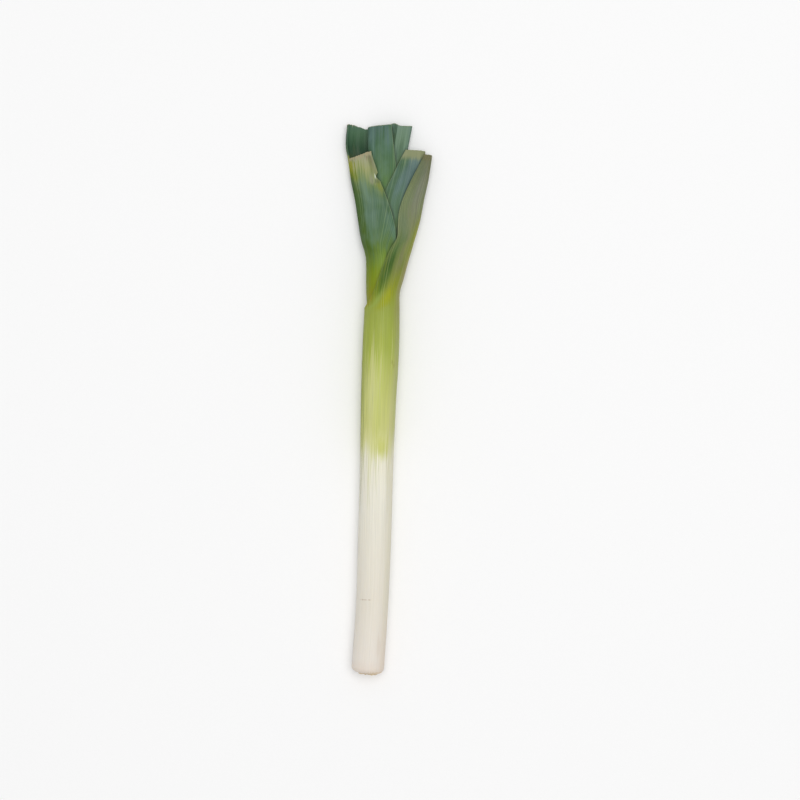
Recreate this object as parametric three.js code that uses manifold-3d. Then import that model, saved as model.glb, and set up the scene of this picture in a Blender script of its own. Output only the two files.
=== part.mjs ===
// A leek lying on its side, as trimmed for a shop. Lengths are in millimetres.
//
// Working frame: Y runs from the root stubs (0) to the leaf tips, X to the right of the throat's centre,
// Z up from the surface that the leek lies on. Leaves grow in two ranks: odd leaves have their keel
// on the right (+X), even ones on the left. Each leaf is folded along its keel, with one half on top
// and the other underneath, and its closed sheath wraps the leaves that are younger than it.

import * as THREE from 'three';
import Module from 'manifold-3d';
import { mergeVertices } from 'three/addons/utils/BufferGeometryUtils.js';

// ---- Driving dimensions ----

const WALL = 1.2;            // thickness of a leaf
const CLEFT_CROWDING = 1.7;  // how closely a leaf's rows are packed just above its cleft
const COLUMNS = 18;          // strips across a whole leaf, margin to margin
const FLAT_DEPTH = 0.3;      // how far the shaft is flattened where it rests
const KEEL_SHARPNESS = 0.35; // how much the fold tightens from the round sheath to the open blade
const KEEL_FADE = 50;        // distance above the cleft over which it does so
const BUTT_ROUND = 5;        // radius of the shaft's rounded lower edge
const BUTT_SLANT = 0.1;      // slope of the cut across the butt, rise over run
const BUTT_FADE = 12;        // distance over which that slope dies out
const BUTT_ROWS = 4;         // rows of faces round the lower edge
const BUTT_CROWDING = 1.6;   // how closely those rows are packed near the cut
const MERGE_DISTANCE = 1e-3; // points closer than this are one

const ROOT_GAP = 0.3;        // clearance between the sheath's end and the root plate
const ROOT_RADIUS = 8.4;
const ROOT_SIDES = 20;
const ROOT_THICKNESS = 0.6;  // at its edge
const ROOT_DOME = 0.3;       // how much thicker it is at its centre

const STUB_COUNT = 48;
const STUB_SIDES = 4;
const STUB_FIELD = 0.9;      // share of the plate's radius that the stubs cover
const STUB_FOOT = 0.1;       // height in the plate where they begin
const STUB_RADIUS = { least: 0.35, range: 0.25 };
const STUB_REACH = { least: 0.3, range: 0.5 }; // how far they stand out of the plate
const STUB_TAPER = 0.75;     // width of a stub's end, as a share of its foot
const STUB_SEED = 11;

const LEAF_ROUGHNESS = 0.5;
const ROOT_ROUGHNESS = 0.9;

// A smooth curve through [station, value] pairs, level before the first and after the last.
function track(...points) {
  const slope = (i) => {
    const a = points[Math.max(i - 1, 0)];
    const b = points[Math.min(i + 1, points.length - 1)];
    return (b[1] - a[1]) / (b[0] - a[0]);
  };
  return (y) => {
    if (y <= points[0][0]) return points[0][1];
    if (y >= points.at(-1)[0]) return points.at(-1)[1];
    const i = points.findIndex((point) => point[0] > y) - 1;
    const [y0, v0] = points[i];
    const [y1, v1] = points[i + 1];
    const h = y1 - y0;
    const t = (y - y0) / h;
    const rise = t * t * (3 - 2 * t);
    const out = t * (1 - t) * (1 - t);
    const back = t * t * (1 - t);
    return v0 + (v1 - v0) * rise + h * (out * slope(i) - back * slope(i + 1));
  };
}

// Height of the fold plane: it sinks as the leaves flatten out towards their tips.
const foldHeight = track([288, 14.6], [305, 14.3], [320, 13.7], [345, 12.3], [363, 10.9], [395, 9.2],
  [431, 8.2], [457, 8]);

// ---- Leaves ----
// Each curve is given by stations along Y.
// keel: x of the fold. far: x of the side opposite the keel, of a sheath still closed.
// margin: x of the free edges above the cleft.
// over, under: greatest height of the upper half above the fold plane, and of the lower half below it.
// base, cup, cleft, slant: where the leaf begins, where its hollow begins, where its sheath opens and
// where its rows start to follow the cut tip. shaft: the leaf's sheath is the leek's round shaft.
// tip(u): where the vein at u ends; u is -1 at the lower margin, 0 at the keel, 1 at the upper margin.

const LEAVES = {
  outer_leaf: {
    shaft: true,
    keel: track([0, 1], [62, 5], [112, 7.1], [170, 8.8], [228, 11.3], [253, 12.9], [275, 13.9],
      [303, 14.2], [318, 14.4], [328, 17.1], [345, 21.7], [362, 26.7], [378, 31.3], [395, 34.6],
      [412, 38.3], [432, 41.3]),
    far: track([0, -26.2], [62, -21.7], [112, -20.4], [170, -18.8], [228, -17.9], [270, -16.7],
      [305, -15], [320, -14.6], [335, -13.8], [350, -11.5], [363, -6], [380, -8], [395, -12], [431, 22]),
    margin: track([305, -15], [311, -11.3], [319, -7.1], [333, -1.7], [347, 3.7], [356, 7.9], [363, 12.1],
      [374, 12.9], [387, 14.2], [403, 20], [420, 28.3], [432, 34.6]),
    over: track([305, 14.6], [320, 14], [333, 13.2], [345, 12], [363, 10], [378, 9], [395, 8.2],
      [412, 6.7], [431, 4.6]),
    under: track([305, 14.3], [320, 13.6], [333, 13], [345, 12.2], [363, 10.5], [378, 9.8], [395, 9.2],
      [412, 8.3], [431, 6]),
    base: 1.2,
    cup: 288,
    cleft: 305,
    slant: 415,
    tip: (u) => 432.5 - 1.5 * Math.abs(u),
    rows: { sheath: 10, cup: 3, blade: 18, end: 3 },
    color: 0x8c9a60,
  },
  leaf_2: {
    keel: track([288, -14.1], [305, -13], [320, -13.6], [345, -13.8], [352, -15], [362, -17.9],
      [378, -20.4], [395, -22.9], [412, -26.3], [428, -28.5], [441, -30.6], [457, -29.6]),
    far: track([288, 12.3], [305, 12.5], [320, 12.9], [333, 13.8], [345, 14.4], [353, 14.2], [358, 16],
      [364, 20], [378, 28], [395, 36], [457, 40]),
    margin: track([353, 14.2], [359, 12.9], [364, 12.1], [374, 11.3], [382, 9.6], [389, 7.1], [395, 4.6],
      [403, 1.3], [411, -2.1], [420, -4.6], [436, -9.6], [457, -9.6]),
    over: track([288, 13.1], [305, 12.8], [312, 12.1], [320, 11.7], [333, 11.1], [345, 10.2], [355, 9.2],
      [364, 8.5], [378, 8], [395, 7.7], [412, 7.1], [457, 6]),
    under: track([288, 13.1], [305, 12.8], [312, 12], [320, 11.5], [333, 11.1], [345, 10.5], [355, 9.6],
      [364, 8.9], [378, 8.6], [395, 8.4], [412, 8.1], [457, 7.9]),
    base: 288.5,
    cup: 338,
    cleft: 353,
    slant: 415,
    tip: (u) => (u > 0.05 ? 430.5 + 6 * u * u : 457.5 - 4 * Math.abs(u)),
    rows: { sheath: 7, cup: 3, blade: 12, end: 5 },
    color: 0x5d8870,
  },
  leaf_3: {
    keel: track([338, 12.2], [345, 12.7], [353, 12.3], [364, 15.5], [370, 17.5], [378, 21.3], [395, 27],
      [412, 32.1], [428, 35], [437, 35.8]),
    far: track([338, -12], [353, -12.3], [362, -12], [374, -10.5], [380, -14], [387, -18], [395, -22],
      [437, -12]),
    margin: track([374, -10.5], [380, -7.5], [387, -4], [396, 0], [406, 3.8], [416, 8.9], [426, 13.9],
      [437.5, 21.3]),
    over: track([338, 9.1], [345, 8.4], [353, 7.5], [364, 6.6], [378, 6.2], [395, 5.9], [437, 5.6]),
    under: track([338, 9.1], [345, 8.6], [353, 7.9], [364, 7.2], [378, 6.8], [395, 6.4], [437, 6]),
    base: 338.5,
    cup: 361,
    cleft: 374,
    slant: 420,
    tip: (u) => 436 + 1.5 * Math.abs(u),
    rows: { sheath: 5, cup: 3, blade: 10, end: 3 },
    color: 0x5a7d72,
  },
  leaf_4: {
    keel: track([361, -10.3], [374, -8.5], [387, -9], [403, -9.8], [420, -11.2], [441, -12.1], [457, -12.1]),
    far: track([361, 12.6], [374, 12.6], [383, 12.5], [386, 15], [390, 19], [395, 24], [410, 32], [457, 34]),
    margin: track([383, 12.5], [400, 12.6], [420, 11.5], [441, 9.2], [457, 7.5]),
    over: track([361, 5.2], [374, 4.7], [383, 4.4], [412, 4.2], [457, 4.1]),
    under: track([361, 5.4], [374, 5], [383, 4.8], [412, 4.5], [457, 4.4]),
    base: 361.5,
    cup: 373,
    cleft: 383,
    slant: 425,
    tip: (u) => 455 + 2.5 * Math.abs(u),
    rows: { sheath: 4, cup: 3, blade: 9, end: 3 },
    color: 0x4f7570,
  },
  leaf_5: {
    keel: track([373, 10.3], [383, 10.4], [388, 11], [395, 13], [410, 16.3], [425, 19], [441, 21.7],
      [457, 24.8]),
    far: track([373, -6.8], [390, -6], [396, -9], [402, -13], [420, -18], [457, -18]),
    margin: track([390, -6], [396, -3.5], [410, -1], [430, 1], [457, 2]),
    over: track([373, 2.9], [390, 2.3], [457, 2.2]),
    under: track([373, 3.1], [390, 2.5], [457, 2.4]),
    base: 373.5,
    cup: 387,
    cleft: 390,
    slant: 425,
    tip: (u) => 455.8 + 3 * Math.exp(-(((u - 0.74) / 0.11) ** 2)),
    rows: { sheath: 4, cup: 2, blade: 9, end: 3 },
    color: 0x6a8f78,
  },
};

const ROOT_COLOR = 0xb79f78;

// ---- One leaf ----

// How far the shaft's outline draws in at its rounded lower edge.
function buttInset(height) {
  if (height >= BUTT_ROUND) return 0;
  return BUTT_ROUND - Math.sqrt(BUTT_ROUND ** 2 - (BUTT_ROUND - height) ** 2);
}

// A point of the leaf at station y and vein u, drawn in by depth from its outer face.
function leafPoint(leaf, y, u, depth) {
  const inset = leaf.shaft ? buttInset(y - leaf.base) + depth : depth;
  const side = Math.sign(leaf.keel(y) - leaf.far(y));
  const keel = leaf.keel(y) - side * inset;
  const far = leaf.far(y) + side * inset;
  const spread = (leaf.keel(y) - leaf.margin(y)) / (leaf.keel(y) - leaf.far(y));
  const wrap = y > leaf.cleft ? Math.acos(Math.max(1 - 2 * spread, -1)) : Math.PI;
  const angle = wrap * Math.abs(u);
  const x = keel + (far - keel) * (1 - Math.cos(angle)) / 2;
  const sheathHalf = Math.abs(leaf.keel(y) - leaf.far(y)) / 2;
  const inShaft = leaf.shaft && y < leaf.cleft;
  const fold = inShaft ? sheathHalf - FLAT_DEPTH : foldHeight(y);
  const half = inShaft ? sheathHalf : (u > 0 ? leaf.over(y) : leaf.under(y));
  const opening = THREE.MathUtils.smoothstep(y, leaf.cleft, leaf.cleft + KEEL_FADE);
  const sharpness = 1 + KEEL_SHARPNESS * opening;
  const widest = Math.sin(Math.min(wrap, Math.PI / 2));
  const rise = (Math.sin(Math.min(angle, Math.PI)) / widest) ** sharpness;
  const z = fold + Math.sign(u) * Math.max(half - inset, 0) * Math.max(rise, 0);
  const centre = (leaf.keel(y) + leaf.far(y)) / 2;
  const slant = leaf.shaft ? BUTT_SLANT * Math.max(1 - (y - leaf.base) / BUTT_FADE, 0) : 0;
  return [x, y - slant * (x - centre), Math.max(z, 0)];
}

// Stations from one end to the other, both included. Above 1, crowding packs them near the start.
function steps(from, to, count, crowding = 1) {
  return Array.from({ length: count + 1 }, (_, i) => from + (to - from) * (i / count) ** crowding);
}

// The stations of every row of a leaf. Past the slant level a row follows the cut tip.
function leafRows(leaf) {
  const sheathStart = leaf.shaft ? leaf.base + BUTT_ROUND : leaf.base;
  const roundRows = leaf.shaft ? BUTT_ROWS : 0;
  const level = [
    ...steps(leaf.base, sheathStart, roundRows, BUTT_CROWDING).slice(0, roundRows),
    ...steps(sheathStart, leaf.cup, leaf.rows.sheath).slice(0, -1),
    ...steps(leaf.cup, leaf.cleft, leaf.rows.cup).slice(0, -1),
    ...steps(leaf.cleft, leaf.slant, leaf.rows.blade, CLEFT_CROWDING),
  ];
  const rows = level.map((y) => () => y);
  for (let i = 1; i <= leaf.rows.end; i += 1) {
    rows.push((u) => leaf.slant + (leaf.tip(u) - leaf.slant) * i / leaf.rows.end);
  }
  return { rows, cup: level.indexOf(leaf.cup), cleft: level.indexOf(leaf.cleft) };
}

// A closed solid: outer face, inner face above the hollow's floor, the floor, both rims and the tip.
function leafGeometry(leaf) {
  const { rows, cup, cleft } = leafRows(leaf);
  const veins = steps(-1, 1, COLUMNS);
  const grid = (depth) => rows.map((row) => veins.map((u) => leafPoint(leaf, row(u), u, depth)));
  const outer = grid(0);
  const inner = grid(WALL);
  const last = rows.length - 1;
  const triangles = [];
  const quad = (a, b, c, d) => triangles.push([a, b, c], [a, c, d]);
  const cap = (ring, flip) => {
    const centre = [0, 1, 2].map((k) => (ring[COLUMNS / 2][k] + ring[0][k]) / 2);
    for (let j = 0; j < COLUMNS; j += 1) {
      triangles.push(flip ? [centre, ring[j + 1], ring[j]] : [centre, ring[j], ring[j + 1]]);
    }
  };
  for (let i = 0; i < last; i += 1) {
    for (let j = 0; j < COLUMNS; j += 1) {
      quad(outer[i][j], outer[i + 1][j], outer[i + 1][j + 1], outer[i][j + 1]);
      if (i >= cup) quad(inner[i][j], inner[i][j + 1], inner[i + 1][j + 1], inner[i + 1][j]);
    }
    if (i >= cleft) {
      quad(outer[i][0], inner[i][0], inner[i + 1][0], outer[i + 1][0]);
      quad(outer[i][COLUMNS], outer[i + 1][COLUMNS], inner[i + 1][COLUMNS], inner[i][COLUMNS]);
    }
  }
  for (let j = 0; j < COLUMNS; j += 1) {
    quad(outer[last][j], inner[last][j], inner[last][j + 1], outer[last][j + 1]);
  }
  cap(outer[0], false);
  cap(inner[cup], true);
  return outwardGeometry(triangles);
}

// Six times the signed volume that the triangles enclose: positive when they face outward.
function signedVolume(triangles) {
  return triangles.reduce((sum, [a, b, c]) => sum
    + a[0] * (b[1] * c[2] - b[2] * c[1])
    + a[1] * (b[2] * c[0] - b[0] * c[2])
    + a[2] * (b[0] * c[1] - b[1] * c[0]), 0);
}

// Triangles as a geometry whose faces point outward, without the slivers that shared points leave.
function outwardGeometry(triangles) {
  const same = (p, q) => Math.hypot(p[0] - q[0], p[1] - q[1], p[2] - q[2]) < MERGE_DISTANCE;
  const kept = triangles.filter(([a, b, c]) => !same(a, b) && !same(b, c) && !same(c, a));
  const turned = signedVolume(kept) < 0 ? kept.map(([a, b, c]) => [a, c, b]) : kept;
  const geometry = new THREE.BufferGeometry();
  geometry.setAttribute('position', new THREE.Float32BufferAttribute(turned.flat(2), 3));
  const merged = mergeVertices(geometry, MERGE_DISTANCE);
  merged.computeVertexNormals();
  return merged;
}

// ---- Root plate ----

// Repeatable random numbers: each call gives one between least and least + range.
function seededRandom(seed) {
  const modulus = 2147483647;
  const multiplier = 48271;
  let state = seed;
  return ({ least, range }) => {
    state = (state * multiplier) % modulus;
    return least + range * state / modulus;
  };
}

function toManifold(wasm, geometry) {
  const bare = geometry.clone();
  bare.deleteAttribute('normal');
  bare.deleteAttribute('uv');
  const merged = mergeVertices(bare, MERGE_DISTANCE);
  return new wasm.Manifold(new wasm.Mesh({
    numProp: 3,
    vertProperties: merged.attributes.position.array,
    triVerts: new Uint32Array(merged.index.array),
  }));
}

function fromManifold(solid) {
  const mesh = solid.getMesh();
  const geometry = new THREE.BufferGeometry();
  geometry.setAttribute('position', new THREE.BufferAttribute(mesh.vertProperties, 3));
  geometry.setIndex(new THREE.BufferAttribute(mesh.triVerts, 1));
  geometry.computeVertexNormals();
  return geometry;
}

// A low dome along +Y, with the stubs of cut roots standing out of it in a golden-angle spiral.
function rootPlateGeometry(wasm) {
  const profile = [
    [0, 0],
    [1, 0],
    [1, ROOT_THICKNESS * 0.6],
    [0.9, ROOT_THICKNESS],
    [0.5, ROOT_THICKNESS + ROOT_DOME * 0.75],
    [0, ROOT_THICKNESS + ROOT_DOME],
  ].map(([share, height]) => new THREE.Vector2(share * ROOT_RADIUS, height));
  const random = seededRandom(STUB_SEED);
  const goldenAngle = Math.PI * (3 - Math.sqrt(5));
  let solid = toManifold(wasm, new THREE.LatheGeometry(profile, ROOT_SIDES));
  for (let k = 0; k < STUB_COUNT; k += 1) {
    const distance = ROOT_RADIUS * STUB_FIELD * Math.sqrt((k + 0.5) / STUB_COUNT);
    const turn = k * goldenAngle;
    const radius = random(STUB_RADIUS);
    const length = ROOT_THICKNESS + random(STUB_REACH);
    const stub = new THREE.CylinderGeometry(radius * STUB_TAPER, radius, length, STUB_SIDES);
    stub.rotateY(random({ least: 0, range: Math.PI }));
    stub.translate(distance * Math.cos(turn), STUB_FOOT + length / 2, distance * Math.sin(turn));
    solid = solid.add(toManifold(wasm, stub));
  }
  return fromManifold(solid);
}

// ---- Assembly ----

function surface(color, roughness) {
  return new THREE.MeshStandardMaterial({ color, roughness, metalness: 0 });
}

const wasm = await Module();
wasm.setup();

const leek = new THREE.Group();
for (const [name, leaf] of Object.entries(LEAVES)) {
  const mesh = new THREE.Mesh(leafGeometry(leaf), surface(leaf.color, LEAF_ROUGHNESS));
  mesh.name = name;
  leek.add(mesh);
}

const rootPlate = new THREE.Mesh(rootPlateGeometry(wasm), surface(ROOT_COLOR, ROOT_ROUGHNESS));
rootPlate.name = 'root_plate';
const shaft = LEAVES.outer_leaf;
const buttCentre = (shaft.keel(shaft.base) + shaft.far(shaft.base)) / 2;
const buttRadius = (shaft.keel(shaft.base) - shaft.far(shaft.base)) / 2;
rootPlate.rotation.set(Math.PI, 0, Math.atan(BUTT_SLANT)); // faces -Y, square to the slanted cut
rootPlate.position.set(buttCentre, shaft.base - ROOT_GAP, buttRadius - FLAT_DEPTH);
leek.add(rootPlate);

// The origin is the centre of the whole leek's box, on the surface that it lies on.
leek.updateMatrixWorld(true);
const box = new THREE.Box3().setFromObject(leek);
const centre = box.getCenter(new THREE.Vector3());
leek.position.set(-centre.x, -centre.y, -box.min.z);

const part = new THREE.Group();
part.add(leek);

export default part;
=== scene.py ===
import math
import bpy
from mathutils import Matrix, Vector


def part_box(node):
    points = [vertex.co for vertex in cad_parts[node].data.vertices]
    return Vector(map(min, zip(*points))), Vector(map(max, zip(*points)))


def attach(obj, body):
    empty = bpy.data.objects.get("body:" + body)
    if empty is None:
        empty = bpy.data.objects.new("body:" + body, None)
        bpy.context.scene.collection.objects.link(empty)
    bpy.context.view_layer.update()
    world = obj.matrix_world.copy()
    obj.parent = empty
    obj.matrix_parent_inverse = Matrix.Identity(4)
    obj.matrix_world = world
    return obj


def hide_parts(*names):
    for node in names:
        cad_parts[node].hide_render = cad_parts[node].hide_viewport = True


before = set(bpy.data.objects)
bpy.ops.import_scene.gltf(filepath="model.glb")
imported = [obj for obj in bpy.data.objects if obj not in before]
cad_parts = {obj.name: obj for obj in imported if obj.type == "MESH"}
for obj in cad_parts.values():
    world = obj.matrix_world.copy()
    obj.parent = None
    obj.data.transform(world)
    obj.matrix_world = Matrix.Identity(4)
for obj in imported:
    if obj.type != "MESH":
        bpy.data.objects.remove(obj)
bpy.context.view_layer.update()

# A leek lying on its side on a pale floor, seen from straight above.
#
# Working frame of the leek, in millimetres: Y runs from the root stubs (0) to the leaf tips, X to the
# right of the throat's centre, Z up. Odd leaves have their keel on the right, even ones on the left.
# Each leaf is folded along its keel, with one half on top and the other underneath, and its closed
# sheath wraps the younger leaves.

from types import SimpleNamespace as Form

import bpy
import numpy as np

MM = 0.001

# ---- Driving dimensions, in millimetres ----
# u is a vein's place across a leaf: -1 at the lower margin, 0 at the keel, 1 at the upper margin.

KEEL_WALL = 1.2  # thickness of a leaf at its fold
MARGIN_WALL = 0.5  # and at its free edge
WALL_TAPER = 1.5  # above 1, a blade stays thick further out from its fold
SHEATH_WALL = 1.2  # thickness of a sheath still closed
SHEATH_FADE = 25  # distance above the cleft over which it becomes a blade's
COLUMNS = 240  # strips across a whole leaf, margin to margin
CLEFT_CROWDING = 1.7  # how closely rows are packed just above a cleft
BUTT_CROWDING = 1.6  # and at the butt
FLAT_DEPTH = 0.3  # how far the shaft is flattened where it rests
KEEL_SHARPNESS = 0.35  # how much the fold tightens from sheath to blade
KEEL_FADE = 50  # distance above the cleft that this takes
BUTT_ROUND = 5  # radius of the shaft's rounded lower edge
BUTT_SLANT = 0.1  # slope of the cut across the butt, rise over run
BUTT_FADE = 12  # distance over which that slope dies out
SHARP_ANGLE = 50  # sharper edges aren't shaded smooth, in degrees

VEINS_PER_HALF = 42  # in half a turn round the fold
VEIN_WARP = 0.012  # how unevenly they are spaced, in half turns
VEIN_WAVES = (19, 47)  # by a slow wave and a fast one, in radians per half turn
FAST_WAVE = 0.5  # size of the fast one beside the slow one
VEIN_MIX = 1.7  # spreads the strengths of the veins
VEIN_MEAN = 0.6  # mean strength of the raised veins, of 1 at most
VEIN_RISE = 0.09  # how far they stand out of a blade
RIBS_PER_HALF = 15  # broader ribs of a closed sheath
RIB_RISE = 0.06
RIB_START = (4, 90)  # from here to there above the butt
RIB_END = (-10, 25)  # and above the cleft, where veins take their place
PLEATS_PER_HALF = 10  # broad lengthwise waves of a blade
PLEAT_RISE = 0.14
PLEAT_FADE = 30  # above the cleft
RIPPLE_RISE = 0.15  # how far the free edges wave in and out
RIPPLE_START = (5, 30)  # above the cleft
RIPPLE_BELT = 0.7  # the u from which they grow towards the free edge
# Waves along a leaf: size, in radians for ribs and pleats, and pace, in mm per radian.
RIB_SWAY = (0.8, 41)
PLEAT_SWAY = (0.9, 23)
LONG_RIPPLE = (1.0, 2.9)
SHORT_RIPPLE = (0.6, 1.7)

FRAY_KNOTS = 70  # corners of a ragged cut tip, margin to margin
CUT_ALONG = 40  # a tip line steeper than this, in mm per unit of u, runs along the veins
CUT_GREEN = 0.1  # how much less dry that is, in mm for each past CUT_ALONG
TEAR_BELT = 0.8  # the u from which a tear grows
TEAR_ROUNDNESS = 0.7  # 1 is a plain V
FAR = 99.0  # a distance too long to matter
MOST_DROOP = 2.8  # how far an upper margin may sink towards the leaf under it
DROOP_CLEARANCE = 0.6  # and what it leaves free
DROOP_BELT = 0.3  # the u from which the veins follow it
DROOP_VEINS = (0.55, 0.7, 0.8, 0.9, 1.0)  # where its room is measured
DROOP_STEP = 2.0  # and how far apart along it
DROOP_REACH = 45.0  # up to this far past the slant level
DROOP_BLUR = 3  # steps to either side over which it is evened out
CREVICE_REACH = 3.0  # how far the shade beside an overlapping leaf spreads
CREVICE_START = 32  # and over how much of a blade it sets in
CREVICE_SAMPLES = 24
GOLDEN_ANGLE = math.pi * (3 - math.sqrt(5))

ROOT_RADIUS = 8.4
ROOT_EDGE = 0.3  # how far inside it the plate's edge lies on average
ROOT_LOBES = ((0.25, 5, 1.0), (0.16, 9, 2.2), (0.08, 17, 0.0))  # the edge's waves: size, count, start
ROOT_FACE = 0.3  # height of the plate's face at its edge, before the bevel
ROOT_DOME = 0.3  # how much higher its middle is
ROOT_BEVEL = (0.35, 0.82)  # its bevel: depth, and the share of the radius where it begins
ROOT_BUMPS = (0.1, 7, 16)  # its uneven rings: height, half waves to the edge, and bend by the lobes
ROOT_GRIT = 0.05  # height of its random roughness
ROOT_ROUGH = 0.97  # share of the radius that is bumpy
ROOT_BACK = (0.96, -0.06)  # its back: share of the radius, and height
ROOT_GAP = 0.15  # between the shaft's cut butt and the root plate
ROOT_TURNS = 96  # points round the plate
ROOT_RINGS = 26

STUB_COUNT = 90
STUB_SIDES = 8
STUB_SPREAD = 0.9  # share of the plate's radius that they cover
STUB_JITTER = 0.25  # how far they stand off a regular spiral, in radians
STUB_RADIUS = (0.38, 0.6)
STUB_LENGTH = (0.5, 1.1)
STUB_LEAN = 0.35  # how far the outermost ones lean out, run over rise
STUB_FOOT = 0.18  # height of their feet
STUB_WOBBLE = (0.88, 1.12)
STUB_DULLEST = 0.25  # the palest is 1
# Shares of length and radius, from the foot to the hollow of the cut end, and the hollow's middle.
STUB_PROFILE = ((0.0, 1.15), (0.5, 1.0), (0.9, 0.95), (1.0, 0.8), (0.93, 0.55))
STUB_HOLLOW = 0.86

LEAF_SEED = 31  # of the outer leaf's random draws: each younger leaf takes the next number
ROOT_SEED = 11

# The leek's own frame in the part's frame, from two points known in both.
OUTER_KEEL_TIP_X = 41.3  # the outer leaf's fold at its tip
LEAF_4_TIP_Y = 457.5  # the fourth leaf's margins at their tip
ORIGIN_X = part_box("outer_leaf")[1].x - OUTER_KEEL_TIP_X * MM
ORIGIN_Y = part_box("leaf_4")[1].y - LEAF_4_TIP_Y * MM


def track(points):
    """A smooth curve through values by station, level before the first and after the last."""
    stations = np.array(list(points), float)
    values = np.array(list(points.values()), float)
    before = np.maximum(np.arange(len(points)) - 1, 0)
    after = np.minimum(np.arange(len(points)) + 1, len(points) - 1)
    slopes = (values[after] - values[before]) / (stations[after] - stations[before])

    def at(y):
        y = np.clip(y, stations[0], stations[-1])
        i = np.clip(np.searchsorted(stations, y, side="right") - 1, 0, len(points) - 2)
        h = stations[i + 1] - stations[i]
        t = (y - stations[i]) / h
        rise = t * t * (3 - 2 * t)
        out = t * (1 - t) ** 2
        back = t * t * (1 - t)
        bend = h * (out * slopes[i] - back * slopes[i + 1])
        return values[i] + (values[i + 1] - values[i]) * rise + bend

    return at


def fade(x, low, high):
    """0 up to low, 1 from high on, and smooth in between."""
    t = np.clip((x - low) / (high - low), 0, 1)
    return t * t * (3 - 2 * t)


# Height of the fold plane, which sinks as the leaves flatten out.
fold_height = track({288: 14.6, 305: 14.3, 320: 13.7, 345: 12.3, 363: 10.9, 395: 9.2, 431: 8.2, 457: 8})


def leaf_2_tip(u):
    """Cut far shorter in front than behind, and along the veins in between, beside the keel."""
    behind = track({-1: 455.2, -0.8: 456.3, -0.5: 458.4, -0.2: 459, 0: 458.4})(u)
    in_front = 429.9 + 6.7 * u * u
    return behind + (in_front - behind) * fade(u, 0.02, 0.14)


# ---- Leaf forms ----
# Each curve is given by stations along Y.
# keel: x of the fold. far: x of the side opposite the keel, of a sheath still closed.
# margin: x of the free edges above the cleft.
# over, under: greatest height of the upper half above the fold plane, and of the lower half below it.
# base, cup, cleft, slant: where the leaf begins, where its hollow begins, where its sheath opens and
# where its rows start to follow the cut tip. shaft: the leaf's sheath is the leek's round shaft.
# tip(u): where the vein at u ends. fray: how far bits of the tip have broken off.
# tear: station, depth and reach of a tear in the upper margin.
# rows: rows of faces round the butt's edge, up to the cup, to the cleft, to the slant and to the tip.

LEAVES = {}

LEAVES["outer_leaf"] = Form(
    keel=track({
        0: 1, 62: 5, 112: 7.1, 170: 8.8, 228: 11.3, 253: 12.9, 275: 13.9, 303: 14.2, 318: 14.4, 328: 17.1,
        345: 21.7, 362: 26.7, 378: 31.3, 395: 34.6, 412: 38.3, 432: 41.3}),
    far=track({
        0: -26.2, 62: -21.7, 112: -20.4, 170: -18.8, 228: -17.9, 270: -16.7, 305: -15, 320: -14.6,
        335: -13.8, 350: -11.5, 363: -6, 380: -8, 395: -12, 431: 22}),
    margin=track({
        305: -15, 311: -11.3, 319: -7.1, 333: -1.7, 347: 3.7, 356: 7.9, 363: 12.1, 374: 12.9, 387: 14.2,
        403: 20, 420: 28.3, 432: 34.6}),
    over=track({305: 14.6, 320: 14, 333: 13.2, 345: 12, 363: 10, 378: 9, 395: 8.2, 412: 6.7, 431: 4.6}),
    under=track({305: 14.3, 320: 13.6, 333: 13, 345: 12.2, 363: 10.5, 378: 9.8, 395: 9.2, 412: 8.3, 431: 6}),
    base=1.2, cup=288, cleft=305, slant=415, shaft=True,
    tip=lambda u: 432.6 + 1.2 * np.abs(u),
    fray=0.6, tear=None, rows=(12, 72, 8, 84, 16),
)

LEAVES["leaf_2"] = Form(
    keel=track({
        288: -14.1, 305: -13, 320: -13.6, 345: -13.8, 352: -15, 362: -17.9, 378: -20.4, 395: -22.9,
        412: -26.3, 428: -28.5, 441: -30.6, 457: -29.6}),
    far=track({
        288: 12.3, 305: 12.5, 320: 12.9, 333: 13.8, 345: 14.4, 353: 14.2, 358: 16, 364: 20, 378: 28, 395: 36,
        457: 40}),
    margin=track({
        353: 14.2, 359: 12.4, 364: 11.2, 374: 10.2, 382: 8.4, 389: 6.1, 395: 4.1, 403: 1.2, 411: -2.1,
        420: -4.6, 436: -9.6, 457: -9.6}),
    over=track({
        288: 13.1, 305: 12.8, 312: 12.1, 320: 11.7, 333: 11.1, 345: 10.2, 355: 9.2, 364: 8.5, 378: 8,
        395: 7.7, 412: 7.1, 457: 6}),
    under=track({
        288: 13.1, 305: 12.8, 312: 12, 320: 11.5, 333: 11.1, 345: 10.5, 355: 9.6, 364: 8.9, 378: 8.6,
        395: 8.4, 412: 8.1, 457: 7.9}),
    base=288.5, cup=338, cleft=353, slant=415, shaft=False,
    tip=leaf_2_tip,
    fray=0.7, tear=(414.5, 2.6, 3.2), rows=(0, 16, 10, 100, 44),
)

LEAVES["leaf_3"] = Form(
    keel=track({
        338: 12.2, 345: 12.7, 353: 12.3, 364: 15.5, 370: 17.5, 378: 21.3, 395: 27, 412: 32.1, 428: 35,
        437: 35.8}),
    far=track({338: -12, 353: -12.3, 362: -12, 374: -10.5, 380: -14, 387: -18, 395: -22, 437: -12}),
    margin=track({374: -10.5, 380: -7.5, 387: -4, 396: 0, 406: 3.8, 416: 8.9, 426: 13.5, 437.5: 19.4}),
    over=track({338: 9.1, 345: 8.4, 353: 7.5, 364: 6.6, 378: 6.2, 395: 5.9, 437: 5.6}),
    under=track({338: 9.1, 345: 8.6, 353: 7.9, 364: 7.2, 378: 6.8, 395: 6.4, 437: 6}),
    base=338.5, cup=361, cleft=374, slant=420, shaft=False,
    tip=lambda u: 436 + 1.5 * np.abs(u),
    fray=0.35, tear=None, rows=(0, 10, 8, 44, 16),
)

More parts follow.
